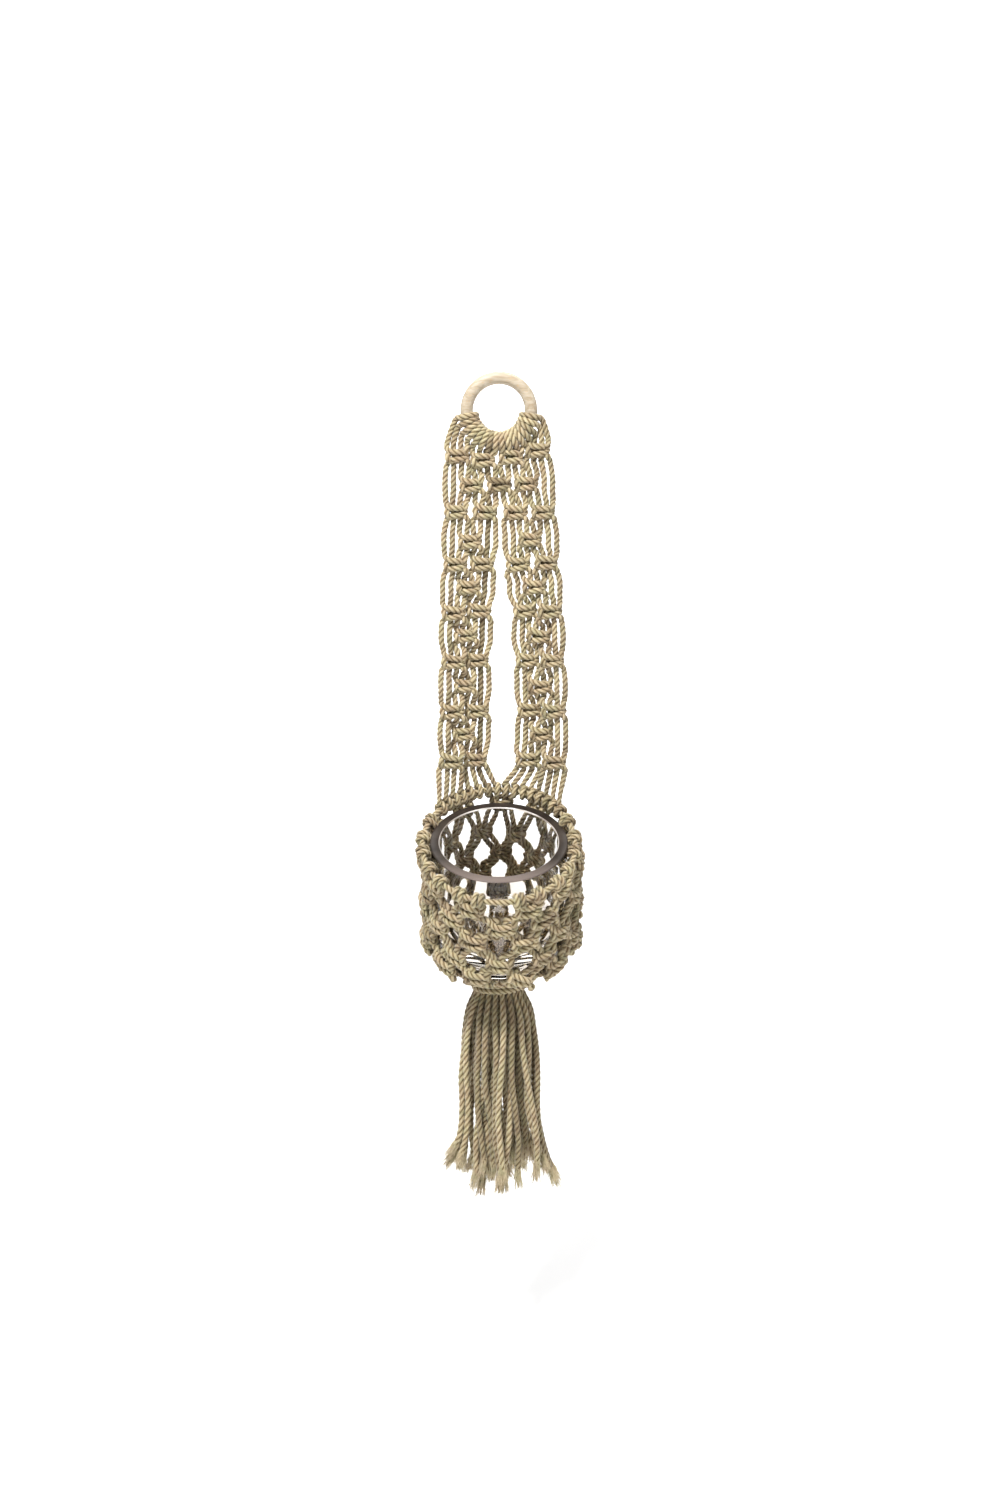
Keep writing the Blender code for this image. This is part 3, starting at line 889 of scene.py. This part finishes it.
def clear_vase():
    """The glass, turned finely. Its lip is a flat band with an eased edge, coloured with a painted dark
    reflection and a painted highlight on its inner edge.
    """
    bore = GLASS_RADIUS - GLASS_WALL
    ease = GLASS_EASE
    profile = [(0.4 * MM, GLASS_FLOOR - 0.6 * MM), (12 * MM, GLASS_FLOOR - 0.4 * MM), (24 * MM, GLASS_FLOOR)]
    profile += arc(bore - 9 * MM, GLASS_FLOOR + 9 * MM, 9 * MM, -90, 0, 10)
    profile += [(bore, height * MM) for height in (35, 50, 65, 80)]
    profile += arc(bore + ease, GLASS_HEIGHT - ease, ease, 180, 90, 4)
    profile += arc(GLASS_RADIUS - ease, GLASS_HEIGHT - ease, ease, 90, 0, 4)
    profile += [(GLASS_RADIUS, height * MM) for height in (80, 60, 40, 20, 10)]
    profile += arc(GLASS_RADIUS - 5 * MM, 5 * MM, 5 * MM, 0, -90, 8)
    profile += [(38 * MM, 0.0), (34 * MM, 1.0 * MM), (20 * MM, 1.6 * MM), (0.4 * MM, 1.8 * MM)]
    vase = turned("clear_vase", profile, 128, glass_material())
    vase.data.materials.append(lip_material())
    vase.data.materials.append(edge_material())
    # The lip's top band takes the painted dark reflection, and its inner edge the painted highlight
    for polygon in vase.data.polygons:
        reach = math.hypot(polygon.center.x, polygon.center.y)
        if polygon.center.z > GLASS_HEIGHT - 0.9 * ease:
            polygon.material_index = 2 if reach < bore + 0.7 * ease else 1
    vase.matrix_world = Matrix.Translation(BASE) @ Matrix.Rotation(TILT, 4, "X")
    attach(vase, "glass")
    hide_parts("glass_vase")


# The cord work


def cord_piece(builder, name, material, body=None, replaces=()):
    """A piece of cord, which stands for some of the plain tubes."""
    piece = builder.piece(name, material, body)
    if replaces:
        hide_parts(*replaces)
    return piece


def strap_and_net_cords(material):
    """The eight strap cords, folded over the ring, each in pieces that part where the planter bends."""
    for pair in range(STRAP_PAIRS):
        stretches = [Builder() for _ in range(5)]
        for second in (0, 1):
            points, parts = strap_strand(2 * pair + second)
            below, turn_in = net_route(pair, second)
            parts.append(len(points) + turn_in)
            strand = Strand(points + below, slack=True)
            ends = [0] + [strand.marks[part] for part in parts] + [len(strand.path) - 1]
            for number, builder in enumerate(stretches):
                builder.add(*strand.stretch(ends[number], ends[number + 1]))
                fuzz(builder, strand, ends[number], ends[number + 1])
        head, strap, tail, net, base = stretches
        piece = cord_piece(head, f"ring_head_{pair + 1}", material, replaces=[f"ring_loop_{pair + 1}"])
        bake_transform(piece)
        cord_piece(strap, f"strap_{pair + 1}", material, "straps", [f"strap_cord_{pair + 1}"])
        piece = cord_piece(tail, f"strap_foot_{pair + 1}", material)
        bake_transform(piece)
        net_pieces(pair, net, base, material)


def net_pieces(pair, net, base, material):
    """A pair's stretch round the glass, and its stretch under it."""
    cord_piece(net, f"net_{pair + 1:02d}", material, "basket", [f"net_cord_{pair + 1:02d}"])
    replaced = [f"base_cord_{pair + 1:02d}"] if pair < KNOTS_ROUND else []
    piece = cord_piece(base, f"net_base_{pair + 1:02d}", material, replaces=replaced)
    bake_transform(piece)


def added_net_cords(material):
    """The cords looped on to the rim in front of the straps."""
    azimuths = RIM_HEADS + [360.0 - azimuth for azimuth in RIM_HEADS[::-1]]
    for number, azimuth in enumerate(azimuths):
        pair = STRAP_PAIRS + number
        net, base = Builder(), Builder()
        for second in (0, 1):
            head = head_route(azimuth, second)
            below, turn_in = net_route(pair, second)
            strand = Strand(head + below, slack=True)
            middle, last = strand.marks[len(head) + turn_in], len(strand.path) - 1
            for builder, first, end in ((net, 0, middle), (base, middle, last)):
                builder.add(*strand.stretch(first, end))
                fuzz(builder, strand, first, end)
        net_pieces(pair, net, base, material)


def rim_holder(material):
    """The cord round the mouth of the glass, which the others are hitched and looped on to."""
    azimuths = np.linspace(0.0, 360.0, 61)
    points = [on_basket(azimuth, RIM_RADIUS, rim_height(azimuth)) for azimuth in azimuths]
    builder = Builder()
    strand = Strand(points)
    builder.add(*strand.stretch(0, len(strand.path) - 1))
    fuzz(builder, strand, 0, len(strand.path) - 1, 7.0 * MM)
    cord_piece(builder, "rim_holder", material, "basket", ["rim_cord"])


def gathering_cord(material):
    """Turns of cord that bind the strands under the glass. Its ends are tucked inside."""
    points = []
    around = 16
    steps = around * WRAP_TURNS
    for step in range(-2, steps + 3):
        turn = 2 * math.pi * step / around
        tucked = step < 0 or step > steps
        reach = WRAP_RADIUS - (3.5 * MM if tucked else 0.0)
        rise = (6.0 - 12.0 * step / steps) * MM
        points.append(GATHER + (reach * math.sin(turn), reach * math.cos(turn), rise))
    builder = Builder()
    strand = Strand(points)
    builder.add(*strand.stretch(0, len(strand.path) - 1))
    fuzz(builder, strand, 0, len(strand.path) - 1, 8.0 * MM)
    cord_piece(builder, "gathering_wrap", material, "gather", ["gather_cord"])


def tassel(material):
    """The free strands, each a piece of its own, numbered from the one that reaches furthest down."""
    nodes = ["tassel_lock_core"] + [f"tassel_lock_{number}" for number in range(1, 7)]
    routes = tassel_routes()
    order = sorted(range(len(routes)), key=lambda number: routes[number][-1][2])
    for rank, number in enumerate(order):
        strand = Strand(routes[number], TAIL, TAIL_PITCH * RANDOM.uniform(0.9, 1.1), tassel_widths)
        last = len(strand.path) - 1
        builder = Builder()
        builder.add(*strand.stretch(0, last))
        fuzz(builder, strand, 0, last, 6.0 * MM, 3.6 * MM)
        frayed_end(builder, strand)
        replaced = [nodes[rank]] if rank < len(nodes) else []
        piece = cord_piece(builder, f"tassel_strand_{rank + 1:02d}", material, "tassel", replaced)
        if rank < DECLARED:
            tuple(strand.path[0])


# Stage

FLOOR_Z = -0.74
LOOK_DOWN = 7.5


def camera():
    """The camera in front of the straps' upper part, looking slightly down."""
    data = bpy.data.cameras.new("camera")
    data.lens = 39.6
    obj = bpy.data.objects.new("camera", data)
    obj.location = (0.8 * MM, -1.2, -0.105)
    obj.rotation_euler = (math.radians(90.0 - LOOK_DOWN), 0.0, 0.0)
    bpy.context.scene.collection.objects.link(obj)
    bpy.context.scene.camera = obj


def stage_sheet(name, corners, **finish):
    """A flat sheet of the stage, with its shader's settings."""
    data = bpy.data.meshes.new(name)
    data.from_pydata(corners, [], [(0, 1, 2, 3)])
    n = Nodes(name)
    n.shade(**finish)
    data.materials.append(n.material)
    obj = bpy.data.objects.new(name, data)
    bpy.context.scene.collection.objects.link(obj)


def floor():
    """A plain pale floor."""
    half = 8.0
    corners = [(x * half, y * half, FLOOR_Z) for x, y in ((-1, -1), (1, -1), (1, 1), (-1, 1))]
    stage_sheet("floor", corners, Base_Color=(0.93, 0.93, 0.93, 1.0), Roughness=0.9)


def area_light(name, place, target, size, power, colour=(1, 1, 1)):
    """A square light that faces a target."""
    data = bpy.data.lights.new(name, "AREA")
    data.size = size
    data.energy = power
    data.color = colour
    obj = bpy.data.objects.new(name, data)
    obj.location = place
    obj.rotation_euler = (Vector(target) - Vector(place)).to_track_quat("-Z", "Y").to_euler()
    bpy.context.scene.collection.objects.link(obj)


def backdrop():
    """A light white screen behind the planter."""
    wide, high, away = 2.6, 2.2, 2.4
    corners = [(-wide, away, FLOOR_Z), (wide, away, FLOOR_Z), (wide, away, high), (-wide, away, high)]
    stage_sheet("backdrop", corners, Base_Color=(0.9, 0.9, 0.9, 1.0), Emission_Color=(1.0, 1.0, 1.0, 1.0),
                Emission_Strength=0.9)


def lights():
    """Soft studio light: a key from the upper left, a weak fill, and a wash on the floor."""
    bpy.context.scene.view_settings.view_transform = "Standard"
    world = bpy.data.worlds.new("studio")
    world.use_nodes = True
    background = world.node_tree.nodes["Background"].inputs
    background["Color"].default_value = (1.0, 1.0, 1.0, 1.0)
    background["Strength"].default_value = 0.27
    bpy.context.scene.world = world
    middle = (0.0, 0.0, -0.3)
    area_light("key", (-0.4, -1.15, 1.2), middle, 0.3, 53.0, (1.0, 0.985, 0.955))
    area_light("fill", (1.2, -1.1, 0.1), middle, 0.9, 4.0)
    area_light("floor_light", (0.0, 0.9, 1.6), (0.0, 1.0, FLOOR_Z), 1.6, 36.0)


def main():
    """Makes the stage and every piece."""
    camera()
    floor()
    backdrop()
    lights()
    cord = cord_material()
    wooden_ring()
    clear_vase()
    tassel(cord)
    strap_and_net_cords(cord)
    added_net_cords(cord)
    rim_holder(cord)
    gathering_cord(cord)


main()
